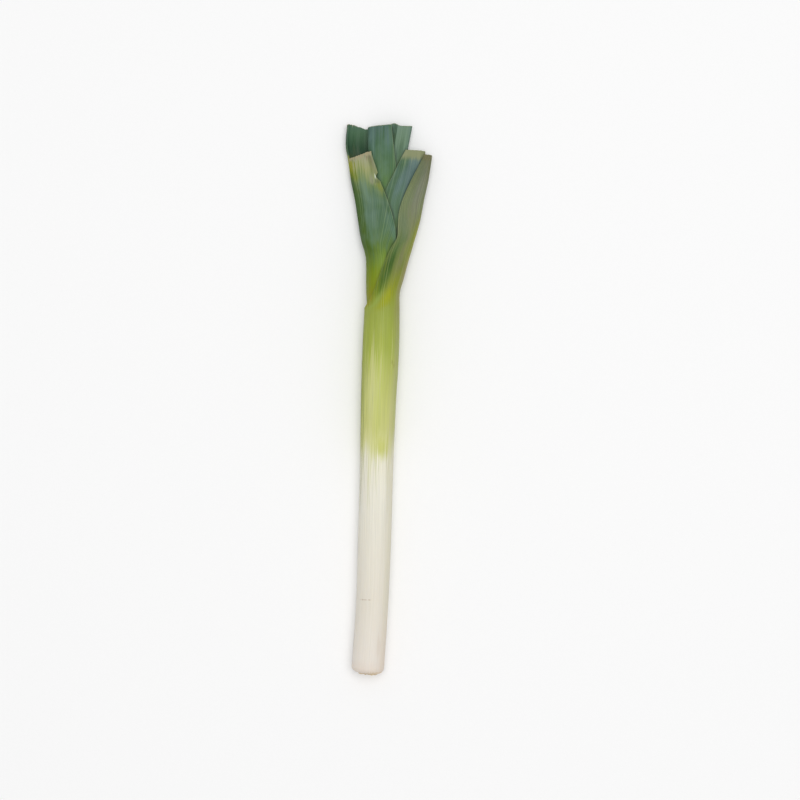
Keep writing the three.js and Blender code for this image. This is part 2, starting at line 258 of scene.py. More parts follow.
LEAVES["leaf_4"] = Form(
    keel=track({361: -10.3, 374: -8.5, 387: -9, 403: -9.8, 420: -11.2, 441: -12.1, 457: -12.1}),
    far=track({361: 12.6, 374: 12.6, 383: 12.5, 386: 15, 390: 19, 395: 24, 410: 32, 457: 34}),
    margin=track({383: 12.5, 400: 12.6, 420: 11.5, 441: 9.2, 457: 7.5}),
    over=track({361: 5.2, 374: 4.7, 383: 4.4, 412: 4.2, 457: 4.1}),
    under=track({361: 5.4, 374: 5, 383: 4.8, 412: 4.5, 457: 4.4}),
    base=361.5, cup=373, cleft=383, slant=425, shaft=False,
    tip=lambda u: 456.1 + 2.4 * np.abs(u),
    fray=0.15, tear=None, rows=(0, 6, 6, 40, 26),
)

LEAVES["leaf_5"] = Form(
    keel=track({373: 10.3, 383: 10.4, 388: 11, 395: 13, 410: 16.3, 425: 19, 441: 21.7, 457: 24.8}),
    far=track({373: -6.8, 390: -6, 396: -9, 402: -13, 420: -18, 457: -18}),
    margin=track({390: -6, 396: -3.5, 410: -1, 430: 1, 457: 2}),
    over=track({373: 2.9, 390: 2.3, 457: 2.2}),
    under=track({373: 3.1, 390: 2.5, 457: 2.4}),
    base=373.5, cup=387, cleft=390, slant=425, shaft=False,
    tip=lambda u: 457.4 + 2.1 * np.exp(-(((u - 0.78) / 0.11) ** 2)),
    fray=0.15, tear=None, rows=(0, 8, 3, 40, 26),
)


# ---- Leaf surfaces ----

def butt_inset(height):
    """How far the shaft's outline draws in at its rounded lower edge."""
    reach = np.clip(BUTT_ROUND - height, 0, BUTT_ROUND)
    return BUTT_ROUND - np.sqrt(BUTT_ROUND ** 2 - reach ** 2)


def leaf_wrap(leaf, y):
    """Angle that each half takes round the fold: half a turn in a closed sheath, less in a blade."""
    spread = (leaf.keel(y) - leaf.margin(y)) / (leaf.keel(y) - leaf.far(y))
    return np.where(y > leaf.cleft, np.arccos(np.clip(1 - 2 * spread, -1, 1)), math.pi)


def leaf_rise(leaf, y, angle, wrap):
    """Height above the fold at an angle, as a share of the half's greatest height."""
    sharpness = 1 + KEEL_SHARPNESS * fade(y - leaf.cleft, 0, KEEL_FADE)
    widest = np.sin(np.minimum(wrap, math.pi / 2))
    return np.maximum(np.sin(angle) / widest, 0) ** sharpness


def leaf_point(leaf, y, u, depth):
    """Points of the leaf at stations y and veins u, drawn in by depth from its plain outer face."""
    keel_line = leaf.keel(y)
    far_line = leaf.far(y)
    inset = depth + (butt_inset(y - leaf.base) if leaf.shaft else 0)
    side = np.sign(keel_line - far_line)
    keel = keel_line - side * inset
    far = far_line + side * inset
    wrap = leaf_wrap(leaf, y)
    angle = wrap * np.abs(u)
    x = keel + (far - keel) * (1 - np.cos(angle)) / 2 + torn_shift(leaf, y, u, side)
    round_half = np.abs(keel_line - far_line) / 2
    in_shaft = leaf.shaft & (y < leaf.cleft)
    fold = np.where(in_shaft, round_half - FLAT_DEPTH, fold_height(y))
    half = np.where(in_shaft, round_half, np.where(u > 0, leaf.over(y), leaf.under(y)))
    z = fold + np.sign(u) * np.maximum(half - inset, 0) * leaf_rise(leaf, y, angle, wrap)
    z = z - leaf.droop(y) * flap_share(u)
    centre = (keel_line + far_line) / 2
    slant = BUTT_SLANT * np.maximum(1 - (y - leaf.base) / BUTT_FADE, 0) if leaf.shaft else 0
    return np.stack([x, y - slant * (x - centre), np.maximum(z, 0)], axis=-1)


def flap_share(u):
    """The share of its margin's droop that each vein of the upper half takes."""
    return fade(u, DROOP_BELT, 1)


def top_height(leaf, x, y):
    """Height of a leaf's upper half over points of the floor: 0 where it doesn't cover them."""
    angle = np.arccos(np.clip(1 - 2 * (x - leaf.keel(y)) / (leaf.far(y) - leaf.keel(y)), -1, 1))
    wrap = leaf_wrap(leaf, y)
    covered = (angle > 0) & (angle <= wrap) & (y > leaf.base) & (y < leaf.tip(angle / wrap))
    return np.where(covered, fold_height(y) + leaf.over(y) * leaf_rise(leaf, y, angle, wrap), 0)


def overhang(leaf, x, y):
    """1 where a leaf covers points of the floor, less just above its cleft, and 0 elsewhere."""
    return (top_height(leaf, x, y) > 0) * fade(y - leaf.cleft, 0, CREVICE_START)


def crevice(older, x, y):
    """How deep points lie under older leaves: 0 in the open, 0.5 at an edge, 1 underneath."""
    total = np.zeros_like(x)
    for k in range(CREVICE_SAMPLES if older else 0):
        reach = CREVICE_REACH * math.sqrt((k + 0.5) / CREVICE_SAMPLES)
        near_x = x + reach * math.cos(k * GOLDEN_ANGLE)
        near_y = y + reach * math.sin(k * GOLDEN_ANGLE)
        total += np.max([overhang(leaf, near_x, near_y) for leaf in older], axis=0)
    return total / CREVICE_SAMPLES


def set_droop(leaf, younger):
    """Lets a leaf's upper margin sink until it all but lies on the younger leaves under it."""
    stations = np.arange(leaf.cleft + DROOP_STEP, leaf.slant + DROOP_REACH, DROOP_STEP)
    y, u = np.meshgrid(stations, DROOP_VEINS, indexing="ij")
    place = leaf_point(leaf, y, u, wall_thickness(leaf, y, u))
    beneath = np.max([top_height(other, place[..., 0], y) for other in younger], axis=0)
    room = (place[..., 2] - beneath - DROOP_CLEARANCE) / flap_share(u)
    room = np.clip(room.min(axis=1), 0, MOST_DROOP)
    window = 2 * DROOP_BLUR + 1
    padded = np.pad(room, 2 * DROOP_BLUR, mode="edge")
    least = np.lib.stride_tricks.sliding_window_view(padded, window).min(axis=1)
    smooth = np.lib.stride_tricks.sliding_window_view(least, window).mean(axis=1)
    leaf.droop = track({leaf.cleft: 0, **dict(zip(stations[1:], smooth[1:]))})


def set_all_droops():
    leaves = list(LEAVES.values())
    for leaf in leaves:
        leaf.droop = track({0: 0, 1: 0})
    for index, leaf in enumerate(leaves[:-1]):
        set_droop(leaf, leaves[index + 1:])


def steps(start, end, count, crowding=1):
    """Stations from start to end, both included. Above 1, crowding packs them near the start."""
    return start + (end - start) * (np.arange(count + 1) / max(count, 1)) ** crowding


def leaf_rows(leaf, veins, tip):
    """The station of every row at every vein, and the numbers of the rows at the cup and at the cleft.

    Past the slant level a row follows the cut tip.
    """
    butt, sheath, cup, blade, end = leaf.rows
    sheath_start = leaf.base + (BUTT_ROUND if leaf.shaft else 0)
    level = np.concatenate([
        steps(leaf.base, sheath_start, butt, BUTT_CROWDING)[:-1],
        steps(sheath_start, leaf.cup, sheath)[:-1],
        steps(leaf.cup, leaf.cleft, cup)[:-1],
        steps(leaf.cleft, leaf.slant, blade, CLEFT_CROWDING),
    ])
    slanted = leaf.slant + (tip - leaf.slant) * steps(0, 1, end)[1:, None]
    y = np.vstack([np.repeat(level[:, None], len(veins), axis=1), slanted])
    return y, butt + sheath, butt + sheath + cup


def sway(y, size, pace, start=0):
    return size * np.sin(y / pace + start)


def vein_relief(leaf, y, turn):
    """How far the outer face stands out: fine veins on a blade, broader ribs on a closed sheath.

    The veins are spaced unevenly, and each has its own strength.
    """
    slow, fast = (np.sin(wave * turn) for wave in VEIN_WAVES)
    place = VEINS_PER_HALF * (turn + VEIN_WARP * (slow + FAST_WAVE * fast))
    strength = VEIN_MEAN + (1 - VEIN_MEAN) * np.sin(VEIN_MIX * np.rint(place) ** 2)
    ridge = (0.5 + 0.5 * np.cos(math.tau * place)) ** 2
    on_blade = fade(y - leaf.cleft, *RIB_END)
    started = fade(y - leaf.base, *RIB_START) if leaf.shaft else 1
    rib = 0.5 + 0.5 * np.cos(math.tau * turn * RIBS_PER_HALF + sway(y, *RIB_SWAY))
    return VEIN_RISE * on_blade * ridge * strength + RIB_RISE * started * (1 - on_blade) * rib


def pleats(leaf, y, turn, seed):
    """Broad lengthwise waves, which both faces of a blade share."""
    opened = fade(y - leaf.cleft, 0, PLEAT_FADE)
    phase = math.tau * PLEATS_PER_HALF * turn + sway(y, *PLEAT_SWAY, seed) + seed
    return PLEAT_RISE * opened * np.sin(phase)


def ripples(leaf, y, u, seed):
    """Waves along the free edges, which both faces of a blade share."""
    opened = fade(y - leaf.cleft, *RIPPLE_START) * fade(np.abs(u), RIPPLE_BELT, 1)
    waves = sway(y, *LONG_RIPPLE, seed * np.sign(u)) + sway(y, *SHORT_RIPPLE, 2 * seed)
    return RIPPLE_RISE * opened * waves


def cut_along(leaf, veins):
    """How much steeper than CUT_ALONG the tip line is: 0 on a plain cut."""
    return np.maximum(np.abs(np.gradient(leaf.tip(veins), veins)) - CUT_ALONG, 0)


def frayed_tip(leaf, veins, seed):
    """The station where each vein ends: the cut, less the bits that dried and broke off."""
    knots = np.linspace(-1, 1, FRAY_KNOTS)
    lost = np.random.default_rng(seed).uniform(0, 1, FRAY_KNOTS) ** 2
    across = cut_along(leaf, veins) == 0
    return leaf.tip(veins) - leaf.fray * across * np.interp(veins, knots, lost)


def torn_shift(leaf, y, u, keel_side):
    """How far a tear draws the upper margin in towards the keel."""
    if leaf.tear is None:
        return 0
    station, depth, reach = leaf.tear
    along = np.maximum(1 - np.abs(y - station) / reach, 0) ** TEAR_ROUNDNESS
    return keel_side * depth * along * fade(u, TEAR_BELT, 1)


def veins_shown(leaf, y, u):
    """The vein to show at each point: the tear cuts the veins off and doesn't push them aside."""
    width = leaf.keel(y) - leaf.far(y)
    wrap = leaf_wrap(leaf, y)
    share = (1 - np.cos(wrap * np.abs(u))) / 2 - torn_shift(leaf, y, u, np.sign(width)) / width
    return np.sign(u) * np.arccos(1 - 2 * np.clip(share, 0, 1)) / wrap


def wall_thickness(leaf, y, u):
    blade = fade(y - leaf.cleft, 0, SHEATH_FADE)
    open_wall = KEEL_WALL + (MARGIN_WALL - KEEL_WALL) * np.abs(u) ** WALL_TAPER
    return SHEATH_WALL + (open_wall - SHEATH_WALL) * blade


# ---- Meshes ----

def grid_faces(ids):
    """The four-cornered faces of a grid of point numbers."""
    return np.stack([ids[:-1, :-1], ids[1:, :-1], ids[1:, 1:], ids[:-1, 1:]], axis=-1).reshape(-1, 4)


def tube_ids(rings, sides):
    """Point numbers of rings round a tube: each ring ends with its first point again."""
    ids = np.arange(rings * sides).reshape(rings, sides)
    return np.concatenate([ids, ids[:, :1]], axis=1)


def fan_faces(middle, ring):
    """The triangles between a middle point and the ring round it."""
    return [(middle, a, b) for a, b in zip(ring[:-1], ring[1:])]


def leaf_mesh(name, leaf, older, seed):
    """The leaf as one closed mesh, with its natural coordinates stored on its points."""
    veins = steps(-1, 1, COLUMNS)
    tip = frayed_tip(leaf, veins, seed)
    y, cup, cleft = leaf_rows(leaf, veins, tip)
    u = np.repeat(veins[None, :], len(y), axis=0)
    shown = veins_shown(leaf, y, u)
    turn = np.abs(shown) * leaf_wrap(leaf, y) / math.pi
    wave = pleats(leaf, y, turn, seed) + ripples(leaf, y, u, seed)
    outer = leaf_point(leaf, y, u, -wave - vein_relief(leaf, y, turn))
    inner = leaf_point(leaf, y, u, wall_thickness(leaf, y, u) - wave)
    caps = [outer[0].mean(axis=0), inner[cup].mean(axis=0)]

    # Up to the cleft the sheath is closed: its first and last column are one.
    outer_id = np.arange(y.size).reshape(y.shape)
    outer_id[:cleft + 1, -1] = outer_id[:cleft + 1, 0]
    inner_id = outer_id + y.size
    polygons = np.concatenate([
        grid_faces(outer_id),
        grid_faces(inner_id[cup:])[:, ::-1],
        grid_faces(np.stack([outer_id[cleft:, 0], inner_id[cleft:, 0]])),
        grid_faces(np.stack([outer_id[cleft:, -1], inner_id[cleft:, -1]], axis=1)),
        grid_faces(np.stack([outer_id[-1], inner_id[-1]])),
    ]).tolist()
    polygons += fan_faces(2 * y.size, outer_id[0])
    polygons += fan_faces(2 * y.size + 1, inner_id[cup, ::-1])

    margin_gap = np.abs(leaf.margin(y) - (outer[..., 0] + inner[..., 0]) / 2)
    # Values on the grid, for both faces, and one for both caps.
    natural = {
        "along": (y, leaf.base),
        "across": (shown, 0),
        "turn": (np.sign(u) * turn, 0),
        "rim": (np.where(y > leaf.cleft, margin_gap, FAR), FAR),
        "tip": (tip - y + CUT_GREEN * cut_along(leaf, veins), FAR),
        "crevice": (crevice(older, outer[..., 0], y) * (u > 0), 1),
    }
    attributes = {key: np.concatenate([grid.ravel(), grid.ravel(), [cap, cap]])
                  for key, (grid, cap) in natural.items()}
    attributes["inside"] = np.repeat([0, 1, 0, 1], [y.size, y.size, 1, 1])
    points = np.vstack([outer.reshape(-1, 3), inner.reshape(-1, 3), caps])
    return build_mesh(name, points, polygons, attributes)


def build_mesh(name, points, polygons, attributes):
    """A Blender object from points in the leek's frame, without the points that no face uses."""
    used = np.unique(np.concatenate(polygons))
    renumber = np.full(len(points), -1)
    renumber[used] = np.arange(len(used))
    place = points[used] * MM + [ORIGIN_X, ORIGIN_Y, 0]
    mesh = bpy.data.meshes.new(name)
    mesh.from_pydata(place.tolist(), [], [renumber[list(face)].tolist() for face in polygons])
    for key, values in attributes.items():
        layer = mesh.attributes.new(key, "FLOAT", "POINT")
        layer.data.foreach_set("value", values[used].astype(np.float32))
    mesh.validate()
    turn_outward(mesh)
    mesh.shade_smooth()
    mesh.set_sharp_from_angle(angle=math.radians(SHARP_ANGLE))
    mesh.update()
    return put_in_scene(name, mesh)


def put_in_scene(name, data):
    """A new object in the scene."""
    thing = bpy.data.objects.new(name, data)
    bpy.context.scene.collection.objects.link(thing)
    return thing


def turn_outward(mesh):
    """Makes the faces of a closed mesh point outwards."""
    mesh.calc_loop_triangles()
    corners = np.array([t.vertices[:] for t in mesh.loop_triangles])
    place = np.array([v.co[:] for v in mesh.vertices])
    a, b, c = (place[corners[:, k]] for k in range(3))
    if np.einsum("ij,ij->i", a, np.cross(b, c)).sum() < 0:
        mesh.flip_normals()


# ---- Shader building blocks ----

GLOSS = 0.018  # light that a leaf's wax sends back uncoloured
DARKEST = 0.003


def skin(color):
    """The colour under a leaf's gloss that makes it look like this 8-bit sRGB colour."""
    return [max(c - GLOSS, DARKEST) for c in linear(color)[:3]] + [1]


def linear(color):
    """An 8-bit sRGB colour as a linear colour with alpha."""
    return [((c / 255 + 0.055) / 1.055) ** 2.4 if c > 10 else c / 255 / 12.92 for c in color] + [1]


def maths(operation):
    """A method that makes a maths node out of values and numbers."""
    return lambda value, *others: value.nodes.math(operation, value, *others)


class Value:
    """What a node gives out. Python's signs between values make maths nodes."""

    def __init__(self, nodes, socket):
        self.nodes = nodes
        self.socket = socket

    __add__ = maths("ADD")
    __sub__ = maths("SUBTRACT")
    __mul__ = maths("MULTIPLY")
    __truediv__ = maths("DIVIDE")
    __pow__ = maths("POWER")
    __abs__ = maths("ABSOLUTE")


class Nodes:
    """A material's node tree, with a method for each kind of node."""

    def __init__(self, name):
        self.material = bpy.data.materials.new(name)
        self.material.use_nodes = True
        self.tree = self.material.node_tree
        self.tree.nodes.clear()

    def node(self, kind, sources, **settings):
        """A new node, its inputs set to plain values or linked to other nodes."""
        node = self.tree.nodes.new(kind)
        for key, setting in settings.items():
            setattr(node, key, setting)
        for key, source in sources.items():
            if isinstance(source, Value):
                self.tree.links.new(source.socket, node.inputs[key])
            else:
                node.inputs[key].default_value = source
        return node

    def value(self, kind, sources, output=0, **settings):
        return Value(self, self.node(kind, sources, **settings).outputs[output])

    def attribute(self, name):
        return self.value("ShaderNodeAttribute", {}, "Fac", attribute_name=name)

    def object_place(self):
        return self.value("ShaderNodeTexCoord", {}, "Object")

    def math(self, operation, *sources):
        return self.value("ShaderNodeMath", dict(enumerate(sources)), operation=operation)

    def vector(self, x, y, z):
        return self.value("ShaderNodeCombineXYZ", {"X": x, "Y": y, "Z": z})

    def noise(self, vector, scale, detail=3, roughness=0.5):
        sources = {"Vector": vector, "Scale": scale, "Detail": detail, "Roughness": roughness}
        return self.value("ShaderNodeTexNoise", sources, "Fac")

    def fade(self, value, low, high, at_low=0, at_high=1):
        """A value that runs smoothly from at_low to at_high as the source goes from low to high."""
        sources = dict(enumerate((value, low, high, at_low, at_high)))
        return self.value("ShaderNodeMapRange", sources, interpolation_type="SMOOTHSTEP")

    def ramp(self, value, stops):
        """The colour at a station, from sRGB colours by station."""
        start, *between, end = stops
        node = self.node("ShaderNodeValToRGB", {"Fac": (value - start) / (end - start)})
        elements = node.color_ramp.elements
        elements[0].color = skin(stops[start])
        elements[1].color = skin(stops[end])
        for station in between:
            elements.new((station - start) / (end - start)).color = skin(stops[station])
        return Value(self, node.outputs["Color"])

    def mix(self, factor, a, b, blend="MIX"):
        sources = {"Factor": factor, "A": a, "B": b}
        return self.value("ShaderNodeMix", sources, "Result", data_type="RGBA", blend_type=blend)

    def lit(self, color, light):
        """The colour, times the light on it."""
        return self.mix(1, color, self.vector(light, light, light), "MULTIPLY")

    def bump(self, height, strength, distance):
        return self.value("ShaderNodeBump", {"Height": height, "Strength": strength, "Distance": distance})

    def finish(self, color, roughness, normal, settings):
        """The material, as a plain shader with these values."""
        sources = {"Base Color": color, "Roughness": roughness, "Normal": normal, **settings}
        shader = self.value("ShaderNodeBsdfPrincipled", sources, "BSDF")
        self.node("ShaderNodeOutputMaterial", {"Surface": shader})
        return self.material


# ---- Leaf looks ----
# body, keel, margin: colours along the leaf, in the middle of a half, at the fold and at the free edge.
# zones: how far the keel's colour reaches, in u; where the margin's is full, in mm from the free edge,
# and where it ends. vein: colour of the veins.
# bloom: strength of the grey-blue wax. inside: colours along the inner face.
# crevice: light left beside the leaf over it.
# dry: length of the dried part at the cut tip, how ragged its end is, and its colour.
# marks: single soft patches on both halves, some of them painted shade where so noted, as (station,
# distance from the keel in u, half length, half width in u, colour, strength).

LOOKS = {}

LOOKS["outer_leaf"] = {
    "body": {
        0: (226, 212, 198), 2: (228, 216, 204), 14: (231, 224, 214), 60: (229, 223, 210),
        150: (232, 229, 215), 179: (232, 229, 210), 193: (214, 214, 156), 205: (200, 202, 130),
        228: (195, 199, 120), 256: (180, 188, 101), 271: (165, 177, 83), 305: (152, 164, 76),
        320: (138, 146, 54), 340: (122, 132, 70), 370: (124, 132, 84), 395: (122, 130, 98),
        412: (120, 124, 100), 426: (104, 108, 80), 433: (108, 108, 80)},
    "keel": {
        0: (226, 212, 198), 60: (222, 216, 198), 178: (222, 218, 196), 205: (190, 192, 132),
        280: (158, 166, 92), 310: (146, 148, 84), 332: (146, 142, 98), 347: (148, 148, 78),
        366: (146, 150, 62), 385: (124, 130, 88), 400: (116, 122, 92), 433: (106, 106, 80)},
    "margin": {
        0: (226, 212, 198), 176: (222, 218, 196), 205: (186, 190, 120), 300: (150, 160, 60),
        312: (130, 148, 56), 322: (92, 118, 28), 332: (70, 100, 20), 345: (64, 94, 26), 356: (88, 112, 62),
        372: (108, 122, 88), 400: (112, 124, 84), 420: (102, 112, 80), 433: (112, 114, 84)},
    "zones": (0.36, 5, 11.5), "vein": (216, 218, 168), "bloom": 0.06, "crevice": 1,
    "dry": (6, 6, (116, 114, 84)),
    "inside": {300: (104, 128, 62), 432: (96, 110, 66)},
    "marks": [
        (200, 0.64, 48, 0.045, (212, 213, 152), 0.5),
        (240, 0.655, 42, 0.012, (204, 208, 140), 0.5),
        (226, 0.8, 50, 0.03, (206, 208, 150), 0.5),
        (232, 0.5, 52, 0.05, (186, 194, 92), 0.5),
        (206, 0.24, 44, 0.06, (202, 198, 150), 0.4),
        (189, 0.42, 9, 0.14, (197, 200, 108), 0.8),
        (238, 0.62, 28, 0.15, (208, 210, 146), 0.7),
        # painted shade: a darker olive strip down the far side of the shaft
        (240, 0.97, 66, 0.17, (128, 138, 42), 0.8),
        (267, 0.285, 17, 0.006, (222, 222, 168), 0.8),
        (400, 0.55, 30, 0.22, (122, 124, 108), 0.6),
        (352, 0.55, 22, 0.1, (128, 128, 98), 0.5),
        (358, 0.28, 11, 0.24, (138, 146, 74), 0.6),
        (361, 0.36, 13, 0.09, (128, 138, 50), 0.45),
        (313, 0.55, 10, 0.12, (156, 162, 30), 0.9),
        (310, 0.95, 6, 0.05, (150, 142, 36), 0.6),
        (311, 0.76, 8, 0.06, (146, 172, 88), 0.45),
        (257, 0.23, 3.2, 0.02, (142, 128, 74), 0.7),
        (259.5, 0.275, 2.2, 0.016, (120, 104, 60), 0.6),
        (62.8, 0.68, 0.45, 0.085, (186, 164, 136), 0.6),
        (62.8, 0.56, 0.35, 0.03, (180, 156, 126), 0.6),
        (22, 0.3, 9, 0.04, (218, 202, 184), 0.35),
        (1.4, 0.26, 1.8, 0.26, (216, 190, 150), 0.7),
    ],
}

LOOKS["leaf_2"] = {
    "body": {
        290: (138, 150, 48), 310: (134, 146, 38), 330: (130, 148, 42), 342: (116, 140, 50),
        354: (92, 118, 60), 370: (84, 112, 78), 388: (87, 112, 90), 402: (93, 117, 84), 411: (118, 135, 86),
        421: (149, 153, 103), 431: (152, 154, 124), 440: (66, 94, 66), 458: (80, 106, 82)},
    # keel: dark olive along the fold from station 357, partly the fold's own colour and partly painted shade
    "keel": {
        290: (140, 148, 60), 320: (124, 136, 38), 333: (118, 134, 32), 345: (98, 118, 34), 357: (73, 95, 24),
        372: (60, 82, 30), 395: (58, 82, 40), 407: (57, 77, 28), 414: (70, 88, 28), 422: (130, 134, 46),
        432: (142, 140, 66), 440: (58, 80, 62), 458: (64, 82, 70)},
    "margin": {
        350: (102, 130, 86), 370: (82, 114, 90), 388: (70, 98, 68), 397: (84, 108, 66), 405: (106, 122, 70),
        413: (128, 136, 86), 424: (132, 134, 96), 436: (124, 128, 104), 440: (66, 94, 66),
        458: (84, 110, 88)},
    "zones": (0.5, 2, 5), "vein": (176, 198, 140), "bloom": 0.15, "crevice": 0.45,
    "dry": (3.5, 8, (160, 152, 120)),
    # inner face: its own darker green, darker still towards station 430 as painted shade under the front
    # half's cut tip
    "inside": {430: (46, 70, 56), 440: (54, 80, 60), 452: (78, 108, 82), 458: (84, 112, 92)},
    "marks": [
        (390, 0.3, 24, 0.19, (80, 105, 64), 0.75),
        (366, 0.3, 18, 0.17, (76, 100, 40), 0.75),
        (388, 0.6, 24, 0.07, (108, 134, 116), 0.35),
        (378, 0.48, 20, 0.05, (104, 132, 112), 0.35),
        (386, 0.78, 20, 0.08, (74, 106, 74), 0.5),
        (408, 0.95, 7, 0.08, (128, 136, 64), 0.55),
        (432, 0.85, 5, 0.05, (140, 124, 98), 0.6),
        (429, 0.92, 5, 0.05, (116, 110, 84), 0.6),
        (421, 0.905, 7, 0.04, (118, 127, 80), 0.6),
        (414.7, 0.935, 1.9, 0.035, (204, 212, 190), 0.95),
        (411.5, 0.84, 3.5, 0.08, (154, 152, 126), 0.6),
        (410.6, 0.94, 1.9, 0.07, (90, 102, 72), 0.6),
        (405, 0.6, 12, 0.1, (110, 136, 108), 0.4),
        (407, 0.38, 9, 0.16, (84, 104, 50), 0.7),
        (417, 0.4, 7, 0.24, (112, 127, 44), 0.75),
        (427, 0.22, 7, 0.24, (140, 145, 58), 0.8),
        # painted shade: dark patch on the back half near the fold, under the front half's cut tip
        (437, 0.1, 4, 0.3, (62, 88, 68), 0.9),
        (311, 0.25, 9, 0.14, (142, 138, 26), 0.9),
        (345, 0.5, 9, 0.14, (118, 142, 58), 0.4),
    ],
}

LOOKS["leaf_3"] = {
    "body": {
        338: (100, 126, 56), 375: (78, 106, 70), 395: (85, 113, 90), 410: (88, 112, 106),
        422: (90, 112, 108), 429: (98, 118, 106), 431.5: (130, 138, 106), 438: (136, 140, 106)},
    "keel": {338: (110, 130, 60), 395: (76, 102, 78), 415: (76, 96, 88), 438: (112, 114, 88)},
    "margin": {
        374: (76, 104, 60), 395: (70, 98, 66), 407: (73, 101, 70), 420: (72, 100, 72), 430: (86, 112, 80),
        438: (118, 130, 98)},
    "zones": (0.4, 4, 9.5), "vein": (170, 192, 150), "bloom": 0.165, "crevice": 0.42,
    "dry": (9.5, 1.5, (140, 145, 109)),
    "inside": {374: (58, 84, 62), 438: (74, 98, 74)},
    "marks": [(434, 0.45, 4, 0.16, (122, 116, 86), 0.45)],
}

LOOKS["leaf_4"] = {
    "body": {
        361: (100, 130, 62), 395: (82, 116, 64), 412: (82, 112, 72), 424: (80, 110, 76), 437: (72, 104, 76),
        450: (80, 106, 96), 458: (80, 106, 98)},
    "keel": {361: (100, 130, 62), 400: (66, 94, 50), 430: (62, 88, 66), 458: (68, 94, 86)},
    "margin": {383: (96, 124, 66), 420: (80, 110, 72), 458: (78, 106, 84)},
    "zones": (0.3, 1.6, 4), "vein": (160, 188, 140), "bloom": 0.15, "crevice": 0.62,
    "dry": (0.6, 0.8, (120, 132, 100)),
    "inside": {383: (50, 78, 60), 458: (66, 92, 76)},
    "marks": [
        (440, 0.8, 16, 0.1, (74, 106, 70), 0.4),
        (445, 0.4, 14, 0.1, (88, 116, 112), 0.4),
        (408, 0.72, 14, 0.12, (96, 128, 70), 0.5),
    ],
}

LOOKS["leaf_5"] = {
    "body": {
        373: (108, 136, 68), 410: (90, 120, 82), 436: (86, 112, 88), 446: (104, 130, 106),
        458: (108, 132, 112)},
    "keel": {373: (108, 136, 68), 430: (72, 98, 76), 458: (86, 108, 94)},
    "margin": {390: (100, 128, 72), 430: (76, 104, 76), 458: (78, 106, 82)},
    "zones": (0.3, 2, 5), "vein": (170, 194, 150), "bloom": 0.12, "crevice": 0.6,
    "dry": (0.6, 0.8, (126, 138, 106)),
    "inside": {390: (70, 98, 76), 458: (80, 106, 84)},
    # painted shade: dark strip beside the fourth leaf's margin near the tip
    "marks": [(450, 0.8, 14, 0.12, (46, 74, 48), 0.9)],
}

SPECULAR = {"Specular IOR Level": 0.2}
TRANSLUCENT = {"Subsurface Weight": 0.25, "Subsurface Scale": 0.002, "Subsurface Radius": (1, 0.9, 0.7)}
BLOOM_COLOR = (136, 160, 160)
RIM_COLOR = (150, 166, 116)

# Noise in streaks along the leaf: lanes across half a turn, pace along it per mm, and its own slice.
BROAD = (16, 0.008, 0)
STREAKS = (55, 0.01, 20)
FINE = (170, 0.03, 40)
PATCHES = (5, 0.06, 60)
NOISE_DETAIL = 2
HALVES_APART = 3  # keeps the leaf's two halves unlike, in half turns

# Four numbers are a range and the values at its ends: here 2 at 5 mm and 24 at 150 mm.
SHAFT_REACH = (5, 150, 2, 24)  # how far streaks carry colours along the shaft, by station,
BLADE_REACH = 26  # and along a blade
KEEL_RAGGED = 0.25  # raggedness of the keel's zone, in u
KEEL_FULL = 0.4  # share of the zone where its colour is full
MARGIN_RAGGED = 0.8  # raggedness of the margin's zone, as a share of it
MARGIN_START = 14  # distance above the cleft over which its colour sets in
MARGIN_EDGE = 0.72  # what is left of it right at the free edge
MARK_WANDER = 24  # how far streaks carry a mark along the leaf,
SHORT_MARK = 4  # unless its half length is no more than this
MARK_RAGGED = 6.5  # raggedness of a mark, in half sizes
MARK_FADE = (0.4, 1.25)  # where it fades out, likewise
SHAFT_VEINS = (170, 300, 0.06, 0.13)  # how clearly veins show on the shaft, by station,
BLADE_VEINS = 0.15  # and on a blade
VEIN_SHARPNESS = 5
PAINTED_VEIN_MEAN = 0.65  # their mean strength, of 1 at most
HAIRS_PER_VEIN = 3  # fine lines between one vein and the next
HAIR_TONE = 0.06
HAIR_RELIEF = 0.12
STREAK_TONE = 0.42  # how much lighter or darker streaks are
SHAFT_CONTRAST = (20, 220, 0.25, 1)  # how much of that the shaft shows, by station
BLOOM_PATCHES = (0.38, 0.68)
BLOOM_START = (325, 380)  # stations between which the bloom sets in
INSIDE_SHARE = 0.85  # how much of the inner face's colour shows there
RIM_FADE = (0.1, 0.45, 0.35, 0)  # strength of the rim's colour, by distance from the edge
DRY_FULL = 0.4  # share of the dried part where its colour is full
DRY_SHARE = 0.9  # how much of that colour shows
DRY_INSIDE = 0.8  # how much less of the inner face is dry
CREVICE_PATCHES = (0.35, 0.65, 0.7, 1.1)  # unevenness of a crevice's shade
CREVICE_FULL = 0.6  # depth in the crevice where it is full
ROUGHNESS = (0.3, 0.7, 0.4, 0.58)  # from waxy patches to dull ones
SKIN_BUMP = (0.3, 0.00015)


